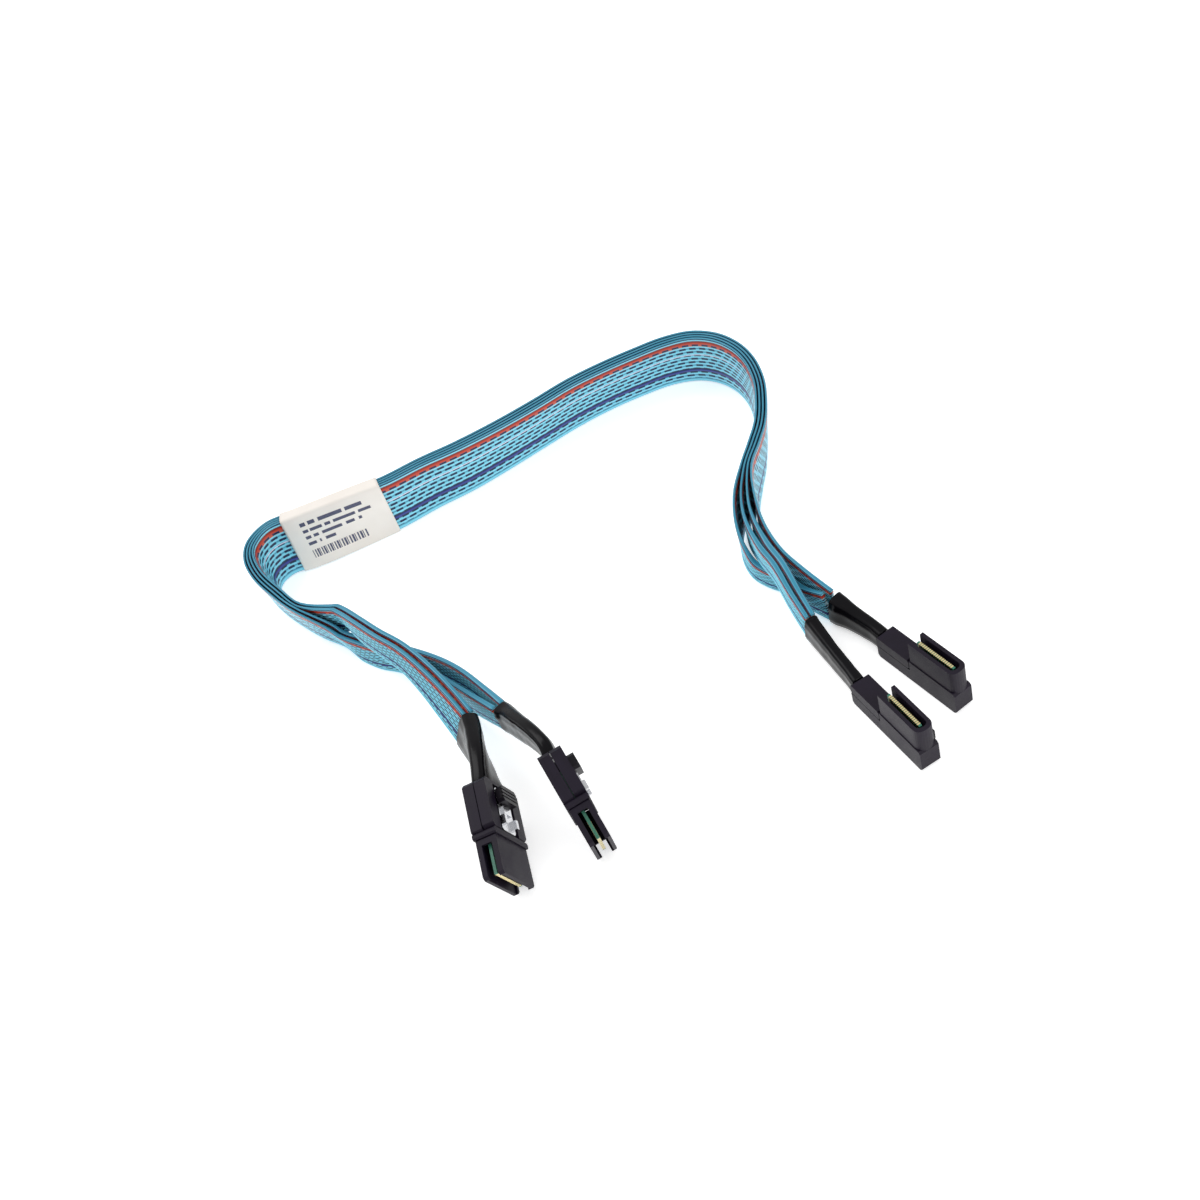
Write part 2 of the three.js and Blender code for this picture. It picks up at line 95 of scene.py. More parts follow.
STACK = [
    (-97.6, 37.4, 16), (-104.9, 47.5, 13), (-111.4, 58.2, 10), (-115.6, 68.0, 5),
    (-115.3, 76.0, 1), (-108.5, 80.8, 3), (-98.0, 80.4, 5), (-87.5, 81.2, 4),
    (-75.0, 82.9, 1), (-62.0, 84.9, -3), (-47.0, 88.7, -5), (-32.0, 91.4, -7),
    (-16.0, 96.0, -10), (0.0, 101.3, -12), (16.0, 106.4, -12), (31.0, 109.6, -13),
    (45.0, 111.0, -13), (58.0, 111.0, -12), (69.5, 107.2, -9), (77.6, 99.0, -5),
    (81.8, 88.5, -1), (82.6, 77.0, 3), (80.4, 64.5, 7), (76.6, 53.0, 9),
    (72.6, 42.5, 9), (68.0, 33.0, 7), (63.4, 22.5, 3),
]
LEFT_ENDS = [
    [(-43.6, -43.2, 16, 9.5, 0), (-50.8, -30.0, 12, 11, 0), (-59.4, -14.2, 8, 12, 0),
     (-65.8, -3.6, 6.4, 12.2, 0), (-74.0, 7.0, 6.2, 12.2, 0), (-81.5, 13.0, 6.2, 12.2, 0),
     (-87.4, 19.2, 6.3, 12.2, 4), (-90.2, 23.1, 6.5, 12.6, 10), (-93.6, 27.4, 7.7, 14.8, 16)],
    [(-40.9, -41.8, 16, 9.5, 0), (-45.4, -32.2, 14.8, 11, 0), (-52.2, -18.6, 13.2, 12, 0),
     (-61.0, -4.0, 9, 12, 0), (-71.4, 8.2, 6.4, 12.2, 0), (-79.4, 14.6, 6.2, 12.2, 0),
     (-85.5, 20.7, 6.3, 12.2, 4), (-88.5, 24.4, 6.5, 12.6, 10), (-92.0, 28.6, 7.7, 14.8, 16)],
    [(-56.4, -42.4, 16.5, 12, -28), (-60.3, -31.0, 17.5, 12, -24), (-65.2, -18.2, 18.9, 12, -16),
     (-70.8, -5.8, 19.3, 12, -8), (-77.0, 4.2, 19.3, 12, -2), (-82.6, 13.6, 19.3, 12, 0),
     (-87.0, 21.6, 19.2, 12, 6), (-90.2, 26.8, 17.2, 15.0, 14)],
    [(-54.0, -41.9, 16.5, 12, -28), (-57.9, -30.1, 17.5, 12, -24), (-62.8, -17.2, 18.9, 12, -16),
     (-68.6, -4.6, 19.3, 12, -8), (-75.2, 5.8, 19.3, 12, -2), (-80.7, 14.9, 19.3, 12, 0),
     (-85.2, 22.9, 19.2, 12, 6), (-88.6, 28.0, 17.2, 15.0, 14)],
]
RIGHT_ENDS = [
    [(62.6, 10.0, 12.3, 24, 2), (61.4, -3.0, 11, 20, 0), (63.0, -15.0, 9.5, 16, 0),
     (67.2, -25.5, 8.3, 13, 0), (72.4, -37.0, 7, 12, 0)],
    [(60.4, 10.2, 12.6, 22, 2), (59.0, 0.0, 13.4, 15, 0), (59.7, -12.0, 13.9, 9.6, 0),
     (61.2, -23.0, 14.2, 9.4, 0), (62.3, -33.5, 10, 11, 0), (63.3, -43.2, 7.2, 12, 0)],
    [(58.2, 10.7, 12.6, 22, 2), (56.2, 0.0, 13.4, 15, 0), (56.8, -11.5, 13.9, 9.6, 0),
     (58.5, -22.5, 14.0, 9.4, 0), (59.7, -33.2, 10, 11, 0), (61.1, -43.6, 7.2, 12, 0)],
    [(55.9, 11.0, 12.3, 24, 2), (53.0, 1.0, 9.3, 16.5, 0), (53.6, -7.5, 5.2, 9.8, 0),
     (57.2, -14.3, 4.3, 8.2, 0), (62.6, -21.0, 4.3, 8.2, 0), (65.6, -29.2, 4.9, 9, 0),
     (70.0, -38.4, 7, 12, 0)],
]
WIDE, LEAN, THICK = 3, 4, 5  # where a station keeps its width, its lean and its thickness
print("stations in the shared part:", len(STACK))

# %% [markdown]
# ## One smooth curve through the stations
# A Catmull-Rom curve passes through every station, which a Bezier curve with automatic handles
# would also do, but this form blends width and lean along with the place.

# %% Smooth rows and their frames
ROW_STEPS = 5
MIDDLE_OF_FOUR = 1.5
LEAN_LIFT = 2.3  # a leaning stack rests on its lower corner, so its middle rises


def smooth_row(points, steps):
    row, last = [], len(points) - 1
    for i in range(last):
        a, b = points[max(i - 1, 0)], points[i]
        c, d = points[i + 1], points[min(i + 2, last)]
        for j in range(steps):
            t = j / steps
            row.append([
                (2 * q + (r - p) * t + (2 * p - 5 * q + 4 * r - s) * t * t
                 + (3 * q - p - 3 * r + s) * t ** 3) / 2
                for p, q, r, s in zip(a, b, c, d)])
    return row + [list(points[last])]


def stack_point(i, offset):
    x, y, degrees = STACK[i]
    a, b = STACK[max(i - 1, 0)], STACK[min(i + 1, len(STACK) - 1)]
    run = math.hypot(b[0] - a[0], b[1] - a[1])
    lean, half = math.radians(degrees), WIDTH / 2
    side = half * math.sin(lean) + offset * math.cos(lean)
    height = (half * math.cos(lean) - offset * math.sin(lean)
              + abs(math.sin(lean)) * LEAN_LIFT)
    return (x - (b[1] - a[1]) / run * side, y + (b[0] - a[0]) / run * side,
            height, WIDTH, degrees)


def frames_of(row):
    frames = []
    for i, station in enumerate(row):
        a, b = row[max(i - 1, 0)], row[min(i + 1, len(row) - 1)]
        along = (Vector(b[:3]) - Vector(a[:3])).normalized()
        out = Vector((-along.y, along.x, 0)).normalized()
        lean = math.radians(station[LEAN])
        width = Vector((0, 0, math.cos(lean))) + math.sin(lean) * out
        width = (width - width.dot(along) * along).normalized()
        face = -along.cross(width)
        if face.dot(out) < 0:
            face.negate()
        frames.append((Vector(station[:3]) + SHIFT, width, face))
    return frames


rows = []
for k in range(4):
    middle = [stack_point(i, (MIDDLE_OF_FOUR - k) * PITCH) for i in range(len(STACK))]
    rows.append(smooth_row(LEFT_ENDS[k] + middle + RIGHT_ENDS[k], ROW_STEPS))
print("stations along each ribbon:", [len(row) for row in rows])

# %% [markdown]
# ## Lofting
# Every soft piece here is a row of outlines joined by faces and closed at both ends. One helper
# does it and keeps, for each corner, how far it is across the piece and how far along it in
# millimetres. The ribbons' finish reads those two numbers to run wire colours along the real
# piece.

# %% Loft helper
def loft(name, row, outline_at, across_at):
    frames, spots, faces, marks = frames_of(row), [], [], []
    run, before = 0.0, frames[0][0]
    for station, (middle, width, face) in zip(row, frames):
        run += (middle - before).length
        before = middle
        outline = outline_at(station, run)
        for across, outward in outline:
            spots.append((middle + width * across + face * outward) * MM)
            marks.append((across_at(station, across), run))
    count = len(outline)
    for i in range(len(row) - 1):
        for j in range(count):
            k = (j + 1) % count
            faces.append((i * count + j, i * count + k,
                          (i + 1) * count + k, (i + 1) * count + j))
    faces.append(tuple(reversed(range(count))))
    faces.append(tuple(range(len(spots) - count, len(spots))))
    mesh = bpy.data.meshes.new(name)
    mesh.from_pydata(spots, [], faces)
    uv = mesh.uv_layers.new(name="lay")
    for corner in mesh.loops:
        uv.data[corner.index].uv = marks[corner.vertex_index]
    mesh.shade_smooth()
    piece = new_object(name, mesh)
    face_out(piece)
    return piece


def face_out(piece):
    """Turns all the faces round if the closed mesh is inside out."""
    volume = 0.0
    for p in piece.data.polygons:
        corners = [piece.data.vertices[v].co for v in p.vertices]
        for a, b in zip(corners[1:], corners[2:]):
            volume += corners[0].dot(a.cross(b))
    if volume < 0:
        piece.data.flip_normals()


def share_across(station, across):
    return 0.5 - across / station[WIDE]


print("stations to loft in the ribbons:", sum(len(row) for row in rows))

# %% [markdown]
# ## The ribbons
# A mini SAS ribbon is thirteen jacketed wires and wire pairs, side by side and fused into one flat
# strip, so both faces are a row of round ridges. The ridges are modelled, because they catch the
# light along the whole cable, and the strip is not drawn as a flat plate with a bump. Near a plug
# the ribbon bunches up: it gets narrower and as much thicker.

# %% Ribbons
WIRES = 13
VALLEY = 0.42  # the height of a valley, as a share of half the ribbon's thickness
RIDGE = ((0.04, VALLEY), (0.25, 0.9), (0.5, 1.04), (0.75, 0.9))  # share of a wire, height
LAST_VALLEY_AT = 0.998


def ribbed_outline(station, run):
    half, thick = station[WIDE] / 2, AREA / station[WIDE] / 2
    side = []
    for wire in range(WIRES):
        for part, height in RIDGE:
            side.append((-half + 2 * half * (wire + part) / WIRES, thick * height))
    side.append((half * LAST_VALLEY_AT, thick * VALLEY))
    return side + [(x, -y) for x, y in reversed(side)]


ribbons = []
for k, row in enumerate(rows):
    ribbon = loft(f"flat_ribbon_{k + 1}", row, ribbed_outline, share_across)
    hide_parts(f"ribbon_{k + 1}")
    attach(ribbon, "cable")
    ribbons.append(ribbon)
print("faces in each ribbon:", [len(ribbon.data.polygons) for ribbon in ribbons])

# %% [markdown]
# ## The heat-shrink sleeves
# Each plug's two ribbons go into a length of black heat-shrink tube. Shrunk tube follows what is
# under it, so its outline is a flattened oval whose faces pull in a little between the wires. A
# loft over the same stations as the solid gives all of that.

# %% Sleeves
SLEEVE_STEPS = 14
OVAL_POINTS, OVAL_POWER, PINCH = 48, 0.55, 0.035
RIPPLE, RIPPLE_SHORT, RIPPLE_LONG = 0.05, 0.9, 0.23
SLEEVES = {
    "straight_a_sleeve": [
        (-52.54, -70.6, 17.8, 15, 15, 5.4), (-52.4, -68.0, 18.4, 14.6, 13, 5.4),
        (-52.7, -60.0, 18.7, 13.8, 0, 5.8), (-53.8, -50.0, 17.4, 13.4, -20, 6.4),
        (-54.75, -43.7, 16.5, 13.4, -28, 6.8)],
    "straight_b_sleeve": [
        (-30.69, -71.3, 21.97, 13, 4, 4.8), (-31.3, -68.4, 23.1, 12.6, 4, 4.8),
        (-33.8, -62.0, 22.6, 12, 3, 4.8), (-37.6, -53.0, 19.6, 11.4, 1, 5.2),
        (-40.1, -46.6, 17.0, 11, 0, 6.0), (-41.6, -43.8, 16.1, 11, 0, 6.4)],
    "angle_a_sleeve": [
        (81.9, -57.95, 4.7, 8.2, 0, 4.6), (80.0, -53.2, 4.9, 9, 0, 4.6),
        (76.2, -46.0, 5.6, 10.4, 0, 5.0), (73.4, -41.8, 6.6, 12.4, 0, 6.2),
        (72.3, -39.7, 6.9, 13, 0, 6.6)],
    "angle_b_sleeve": [
        (67.65, -72.7, 4.7, 8.2, 0, 4.6), (66.6, -67.0, 4.9, 9, 0, 4.4),
        (64.6, -57.0, 5.4, 10.4, 0, 4.4), (62.7, -47.0, 6.4, 12, 0, 5.0),
        (62.2, -44.5, 6.8, 12.6, 0, 5.2)],
}


def oval(station, run):
    half, thick = station[WIDE] / 2, station[THICK] / 2
    ripple = RIPPLE * math.sin(run * RIPPLE_SHORT) * math.sin(run * RIPPLE_LONG + 1)
    points = []
    for i in range(OVAL_POINTS):
        angle = (i + 0.5) * math.pi / (OVAL_POINTS / 2)
        c, s = math.cos(angle), math.sin(angle)
        pinch = 1 - PINCH * math.cos(4 * math.pi * c) * abs(s)
        points.append((half * math.copysign(abs(c) ** OVAL_POWER, c),
                       (thick * pinch + ripple) * math.copysign(abs(s) ** OVAL_POWER, s)))
    return points


sleeves = []
for name, stations in SLEEVES.items():
    sleeve = loft(name + "_tube", smooth_row(stations, SLEEVE_STEPS), oval, share_across)
    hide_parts(name)
    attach(sleeve, "cable")
    sleeves.append(sleeve)
print(len(sleeves), "sleeves")

# %% [markdown]
# ## The wrap label
# A white vinyl label folds over the stack's top edge and lies down both outer faces. It is one
# thin sheet: a U-shaped outline, rounded where it folds, swept along the ribbons. The print is
# generic bars with no letters. It is a separate thin layer, a few hundredths of a millimetre
# proud, so it stays crisp from any distance.

# %% Label sheet
LABEL_SHEET, LABEL_FOLD, FOLD_STEPS = 0.3, 0.9, 8
LABEL_SIDE = MIDDLE_OF_FOUR * PITCH + 0.9  # from the stack's middle to the sheet's inner face
LABEL_STEPS, LABEL_FROM, LABEL_TO = 12, 66, 107  # the stretch of the stack that it covers
stack_middle = [stack_point(i, 0) for i in range(len(STACK))]
stack_row = smooth_row(stack_middle, LABEL_STEPS)[LABEL_FROM:LABEL_TO]
label_low, label_high = -WIDTH / 2 + 0.2, WIDTH / 2 + 0.45


def label_outline(station, run):
    outer, inner = [], []
    for i in range(FOLD_STEPS + 1):
        turn = math.pi / 2 * i / FOLD_STEPS
        for shell, thick in ((outer, LABEL_SHEET), (inner, 0.0)):
            reach = LABEL_FOLD + thick
            shell.append((label_high - LABEL_FOLD + reach * math.sin(turn),
                          LABEL_SIDE - LABEL_FOLD + reach * math.cos(turn)))
    outer = [(label_low, LABEL_SIDE + LABEL_SHEET)] + outer
    inner = [(label_low, LABEL_SIDE)] + inner
    outer += [(x, -y) for x, y in reversed(outer)]
    inner += [(x, -y) for x, y in reversed(inner)]
    return outer + inner[::-1]


label = loft("label_sheet", stack_row, label_outline, lambda station, across: across)
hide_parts("wrap_label")
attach(label, "cable")
print("the label covers", round(sum((Vector(b[:3]) - Vector(a[:3])).length
                                    for a, b in zip(stack_row, stack_row[1:]))), "mm of ribbon")

# %% [markdown]
# ## The label's print
# Each mark is a small patch laid on the label's face: its corners are found from how far along and
# how far down the label they are, so the patches follow its curve.

# %% Label print
# Each row: how far down it is, how high it is, and where its marks start and end. All are shares
# of the label.
PRINT_ROWS = [
    (0.18, 0.07, [(0.16, 0.22), (0.25, 0.33), (0.37, 0.61), (0.64, 0.80)]),
    (0.31, 0.055, [(0.16, 0.22), (0.24, 0.38), (0.41, 0.47), (0.50, 0.71), (0.74, 0.86)]),
    (0.43, 0.055, [(0.16, 0.22), (0.25, 0.31), (0.35, 0.56), (0.60, 0.68), (0.72, 0.75)]),
    (0.55, 0.055, [(0.16, 0.25), (0.29, 0.31), (0.36, 0.47)]),
]
BARS, BARS_DOWN, BARS_HIGH = 23, 0.75, 0.15
BARS_START, BAR_STEP, BAR_WIDTHS = 0.16, 0.0255, (0.008, 0.014, 0.019)
for i in range(BARS):
    start = BARS_START + i * BAR_STEP
    bar = (start, start + BAR_WIDTHS[i * 7 % len(BAR_WIDTHS)])
    PRINT_ROWS.append((BARS_DOWN, BARS_HIGH, [bar]))

PRINT_PROUD, PATCH_LONG = 0.03, 0.03  # in millimetres, and as a share of the label
label_frames = frames_of(stack_row)


def on_label(along, down):
    place = min(max(along, 0), 1) * (len(label_frames) - 1)
    i = min(int(place), len(label_frames) - 2)
    (m, w, f), (m2, w2, f2) = label_frames[i], label_frames[i + 1]
    t = place - i
    across = label_high + (label_low - label_high) * down
    return (m.lerp(m2, t) + w.lerp(w2, t) * across
            - f.lerp(f2, t) * (LABEL_SIDE + LABEL_SHEET + PRINT_PROUD)) * MM


spots, faces = [], []
for down, high, marks in PRINT_ROWS:
    for start, end in marks:
        steps = max(1, round((end - start) / PATCH_LONG))
        for i in range(steps):
            a, b = (start + (end - start) * (i + n) / steps for n in (0, 1))
            first = len(spots)
            spots += [on_label(a, down - high / 2), on_label(b, down - high / 2),
                      on_label(b, down + high / 2), on_label(a, down + high / 2)]
            faces.append((first + 3, first + 2, first + 1, first))
mesh = bpy.data.meshes.new("label_print")
mesh.from_pydata(spots, [], faces)
label_print = new_object("label_print", mesh)
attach(label_print, "cable")
print(len(faces), "print patches")

# %% [markdown]
# ## Each ribbon's middle line
# Each ribbon is 25 mm wide and both its ends go into the object. The loop below works out its
# middle line from its stations, in metres; nothing further is done with it.

for ribbon, row in zip(ribbons, rows):
    line = [(Vector(s[:3]) + SHIFT) * MM for s in row]

# %% [markdown]
# ## The plugs' own frames
# The solids of a plug are already placed. What is added to a plug is drawn in the plug's own frame
# and moved there by one matrix: x along the plug, z along its width or its height, y the thin way.

# %% Plug frames
def plug_frame(origin, x, y, z):
    return Matrix.Translation(origin) @ Matrix((x, y, z)).transposed().to_4x4()


PLUGS = {
    "straight_a": plug_frame(
        (-0.071638, 0.001439, 0.0176), (-0.061181, -0.972447, -0.224951),
        (0.960364, -0.118758, 0.252186), (-0.271952, -0.200606, 0.941169)),
    "straight_b": plug_frame(
        (-0.049538, 0.000739, 0.0216), (0.192772, -0.906923, -0.374607),
        (0.981198, 0.181845, 0.064677), (0.009463, -0.380031, 0.924925)),
    "angle_a": plug_frame(
        (0.063062, 0.014539, 0), (0.361625, -0.932324, 0),
        (0.932324, 0.361625, 0), (0, 0, 1)),
    "angle_b": plug_frame(
        (0.048762, -0.000261, 0), (0.263873, -0.964557, 0),
        (0.964557, 0.263873, 0), (0, 0, 1)),
}
BLOCK_FACES = ((0, 1, 3, 2), (4, 6, 7, 5), (0, 4, 5, 1), (2, 3, 7, 6), (0, 2, 6, 4), (1, 5, 7, 3))
EDGE_SEGMENTS, EDGE_ANGLE = 2, math.radians(35)


def bars_piece(name, plug, bars):
    """Thin blocks, each ((x0, x1), (y0, y1), (z0, z1)) in millimetres, as one mesh on a plug."""
    spots, faces = [], []
    for xs, ys, zs in bars:
        first = len(spots)
        spots += [PLUGS[plug] @ (Vector((x, y, z)) * MM) for x in xs for y in ys for z in zs]
        faces += [[first + i for i in face] for face in BLOCK_FACES]
    mesh = bpy.data.meshes.new(name)
    mesh.from_pydata(spots, [], faces)
    return new_object(name, mesh)


def round_edges(piece, radius):
    bevel = piece.modifiers.new("edges", "BEVEL")
    bevel.width = radius * MM
    bevel.segments = EDGE_SEGMENTS
    bevel.limit_method = "ANGLE"
    bevel.angle_limit = EDGE_ANGLE
    bevel.use_clamp_overlap = True


print("plugs:", ", ".join(PLUGS))

# %% [markdown]
# ## Slots in the straight noses
# A straight plug's nose is two tongues with the card between them. Its upper narrow side is open
# from the collar on, so the card's edge shows, and its lower one only near the tip. The base solid
# has closed sides, so a copy of its mesh gets the slots with a boolean cut and stands for it. A
# boolean keeps the rest of the copy as it was.

# %% Nose slots
SLOT_THICK = (-1.75, 1.75)
UPPER_SLOT = ((21.2, 33), SLOT_THICK, (8.0, 10.5))
LOWER_SLOT = ((27.5, 33), SLOT_THICK, (-10.5, -8.0))
SLOTTED_EDGE = 0.2

bases = []
for plug in ("straight_a", "straight_b"):
    copied = new_object(plug + "_shell", nodes[plug + "_base"].data.copy())
    cutter = bars_piece("cutter", plug, [UPPER_SLOT, LOWER_SLOT])
    face_out(cutter)
    cut = copied.modifiers.new("slot", "BOOLEAN")
    cut.object, cut.operation, cut.solver = cutter, "DIFFERENCE", "EXACT"
    seen = copied.evaluated_get(bpy.context.evaluated_depsgraph_get())
    slotted = bpy.data.meshes.new_from_object(seen)
    copied.modifiers.clear()
    copied.data = slotted
    bpy.data.objects.remove(cutter)
    round_edges(copied, SLOTTED_EDGE)
    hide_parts(plug + "_base")
    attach(copied, "cable")
    bases.append(copied)
print("slotted:", [len(o.data.vertices) for o in bases])

# %% [markdown]
# ## Contact fingers
# A paddle card carries eighteen gold fingers on each face at 0.8 mm pitch, near the edge that goes
# into the socket. Each finger is a thin sleeve of gold over the card's edge, because that edge
# glints on the real part.

# %% Contact fingers
FINGERS, FINGER_PITCH, FINGER_WIDTH = 18, 0.8, 0.56
FINGER_THICK = (-0.54, 0.54)
STRAIGHT_REACH, ANGLE_REACH = (24.5, 30.53), (10.5, 17.03)
ANGLE_CARD_MIDDLE = 24.4
contacts = []
for plug in PLUGS:
    bars = []
    for i in range(FINGERS):
        at = (i - (FINGERS - 1) / 2) * FINGER_PITCH
        span = (at - FINGER_WIDTH / 2, at + FINGER_WIDTH / 2)
        if plug.startswith("straight"):
            bars.append((STRAIGHT_REACH, FINGER_THICK, span))
        else:
            bars.append((tuple(ANGLE_CARD_MIDDLE + x for x in span), FINGER_THICK, ANGLE_REACH))
    piece = bars_piece(plug + "_contacts", plug, bars)
    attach(piece, "cable")
    contacts.append(piece)
print(len(contacts), "sets of", 2 * FINGERS, "fingers")

# %% [markdown]
# ## Softer edges
# Injection-moulded edges are never sharp, and a stamped spring's are tumbled. A small bevel on the
# shells, buttons and latches gives them the thin highlights of the real part. The solids
# themselves are not changed.

# %% Edge rounding
EDGES = {"_base": 0.22, "_cover": 0.22, "_button": 0.3, "_latch": 0.12}  # radii in millimetres
for ending, radius in EDGES.items():
    for node in nodes_ending(ending):
        round_edges(node, radius)
print("rounded:", sum(1 for n in nodes.values() if n.modifiers))

# %% [markdown]
# ## Colours and nodes
# Colours are written as sRGB hex values, as read off a screen, and one function turns them to the
# linear values that shaders use. One more function adds a node, sets it and links it.

# %% Colour and node helpers
def linear(hex_value):
    parts = [int(hex_value[i:i + 2], 16) / 255 for i in (1, 3, 5)]
    return tuple(c / 12.92 if c <= 0.04045 else ((c + 0.055) / 1.055) ** 2.4
                 for c in parts) + (1.0,)


def add(tree, kind, settings=None, links=None):
    node = tree.nodes.new(kind)
    for key, value in (settings or {}).items():
        if isinstance(key, str) and hasattr(node, key):
            setattr(node, key, value)
        else:
            node.inputs[key].default_value = value
    for key, source in (links or {}).items():
        tree.links.new(source, node.inputs[key])
    return node


def new_material(name, settings):
    material = bpy.data.materials.new(name)
    material.use_nodes = True
    shader = material.node_tree.nodes["Principled BSDF"]
    for key, value in settings.items():
        shader.inputs[key].default_value = value
    return material, material.node_tree, shader


def dress(material, *pieces):
    for piece in pieces:
        piece.data.materials.clear()
        piece.data.materials.append(material)


LIGHT_BLUE = "#84d3e6"
print("the first blue wire is", [round(c, 3) for c in linear(LIGHT_BLUE)[:3]])

# %% [markdown]
# ## Ribbon insulation
# The jacket is extruded thermoplastic over each wire, light blue, with one red and one violet wire
# that mark the ribbon's edges. A colour ramp across the thirteen wires picks each wire's colour.
# A second ramp holds darker copies of the same colours: painted shade, laid into each valley
# between the wires. Dashes of dark foil show through between the wires.

# %% Wire colours and painted valley shade
# Extruded polyolefin jacket: a smooth skin that gives long bright lines along each wire.
jacket, tree, shader = new_material("Extruded polyolefin jacket", {
    "Roughness": 0.36, "IOR": 1.5, "Specular IOR Level": 0.35,
    "Coat Weight": 0.12, "Coat Roughness": 0.15})
lay = add(tree, "ShaderNodeUVMap", {"uv_map": "lay"})
parts = add(tree, "ShaderNodeSeparateXYZ", links={0: lay.outputs[0]})
across, run_mm = parts.outputs[0], parts.outputs[1]
wire = add(tree, "ShaderNodeMath", {"operation": "MULTIPLY", 1: float(WIRES)}, {0: across})
inside = add(tree, "ShaderNodeMath", {"operation": "FRACT"}, {0: wire.outputs[0]})
which = add(tree, "ShaderNodeMath", {"operation": "ROUND"}, {0: wire.outputs[0]})
centred = add(tree, "ShaderNodeMath", {"operation": "SUBTRACT", 1: 0.5}, {0: inside.outputs[0]})
from_middle = add(tree, "ShaderNodeMath", {"operation": "ABSOLUTE"}, {0: centred.outputs[0]})

# Each band starts this many wires from the ribbon's edge.
CREST_BANDS = [(0, LIGHT_BLUE), (0.9, "#96240f"), (1.3, "#c0351a"), (1.85, "#cf6148"),
               (2.3, "#80d2e7"), (8.9, "#182b5c"), (9.3, "#2b3590"), (9.75, "#5c4da3"),
               (10.05, "#80d2e7")]
# Painted shade: darker copies of the crest colours, for the valleys between the wires.
VALLEY_SHADE_BANDS = [(0, "#3389a6"), (0.9, "#7d2418"), (1.85, "#b4523f"), (2.3, "#3389a6"),
                (8.9, "#172b55"), (10.05, "#3389a6")]
ramps = []
for bands in (CREST_BANDS, VALLEY_SHADE_BANDS):
    ramp = add(tree, "ShaderNodeValToRGB", links={0: across})
    ramp.color_ramp.interpolation = "CONSTANT"
    stops = ramp.color_ramp.elements
    for stop, (at, colour) in zip((stops[0], stops[1]), bands):
        stop.position, stop.color = at / WIRES, linear(colour)
    for at, colour in bands[2:]:
        stops.new(at / WIRES).color = linear(colour)
    ramps.append(ramp)
crest, valley = ramps
# Painted shade: towards a wire's valley the colour turns from its crest colour to the darker copy.
edge = add(tree, "ShaderNodeMapRange", {"From Min": 0.2, "From Max": 0.48},
           {"Value": from_middle.outputs[0]})
skin = add(tree, "ShaderNodeMix", {"data_type": "RGBA"}, {
    "Factor": edge.outputs[0], 6: crest.outputs[0], 7: valley.outputs[0]})
print("bands on the crests and in the valleys:", len(CREST_BANDS), len(VALLEY_SHADE_BANDS))

# %% Dashes and lines
# Dashes: 4.3 mm apart along each valley, shifted from valley to valley, and none on the edge wires.
DASH_EVERY, DASH_SHIFT, DASH_SHARE = 4.3, 0.37, 0.66
VALLEY_FROM = 0.21  # how far from a wire's middle its valley starts, in wires
DASHED_MIDDLE, DASHED_HALF = 0.53, 0.39  # the dashed part of the ribbon, as shares across it
along = add(tree, "ShaderNodeMath", {"operation": "MULTIPLY", 1: 1 / DASH_EVERY}, {0: run_mm})
stagger = add(tree, "ShaderNodeMath", {"operation": "MULTIPLY_ADD", 1: DASH_SHIFT}, {
    0: which.outputs[0], 2: along.outputs[0]})
beat = add(tree, "ShaderNodeMath", {"operation": "FRACT"}, {0: stagger.outputs[0]})
on = add(tree, "ShaderNodeMath", {"operation": "LESS_THAN", 1: DASH_SHARE},
         {0: beat.outputs[0]})
low = add(tree, "ShaderNodeMath", {"operation": "GREATER_THAN", 1: VALLEY_FROM},
          {0: from_middle.outputs[0]})
core = add(tree, "ShaderNodeMath",
           {"operation": "COMPARE", 1: DASHED_MIDDLE, 2: DASHED_HALF}, {0: across})
between = add(tree, "ShaderNodeMath", {"operation": "MULTIPLY"},
              {0: low.outputs[0], 1: core.outputs[0]})
dash = add(tree, "ShaderNodeMath", {"operation": "MULTIPLY"},
           {0: on.outputs[0], 1: between.outputs[0]})
finish = add(tree, "ShaderNodeMix", {"data_type": "RGBA", 7: linear("#08274a")}, {
    "Factor": dash.outputs[0], 6: skin.outputs[2]})

# A dark line by the ribbon's rim and a pale one beside a wire, each 0.55 mm wide.
LINE_HALF = 0.011
for middle, colour in ((0.024, "#173f5f"), (0.378, "#d7d8ea")):
    line = add(tree, "ShaderNodeMath", {"operation": "COMPARE", 1: middle, 2: LINE_HALF},
               {0: across})
    finish = add(tree, "ShaderNodeMix", {"data_type": "RGBA", 7: linear(colour)}, {
        "Factor": line.outputs[0], 6: finish.outputs[2]})
tree.links.new(finish.outputs[2], shader.inputs["Base Color"])

# Die lines: 0.3 mm apart across the wire, drawn out along it.
DIE_LINES = (80.0, 0.25, 1.0)
stretch = add(tree, "ShaderNodeVectorMath", {"operation": "MULTIPLY", 1: DIE_LINES},
              {0: lay.outputs[0]})
lines = add(tree, "ShaderNodeTexNoise", {"Scale": 1.0, "Detail": 3.0},
            {"Vector": stretch.outputs[0]})
bump = add(tree, "ShaderNodeBump", {"Strength": 0.12, "Distance": 0.0001},
           {"Height": lines.outputs[0]})
tree.links.new(bump.outputs[0], shader.inputs["Normal"])
dress(jacket, *ribbons)
print("jacket nodes:", len(tree.nodes))

# %% [markdown]
# ## Moulded plastic
# The plug shells are glass-filled PBT from a spark-eroded mould, which leaves a fine even grain,
# black with a trace of violet. The press buttons are the same plastic, smoother where a thumb rubs
# them.

# %% Plastic materials
CLOUD_MM = 6  # the broad, slow change of tone that every moulding has


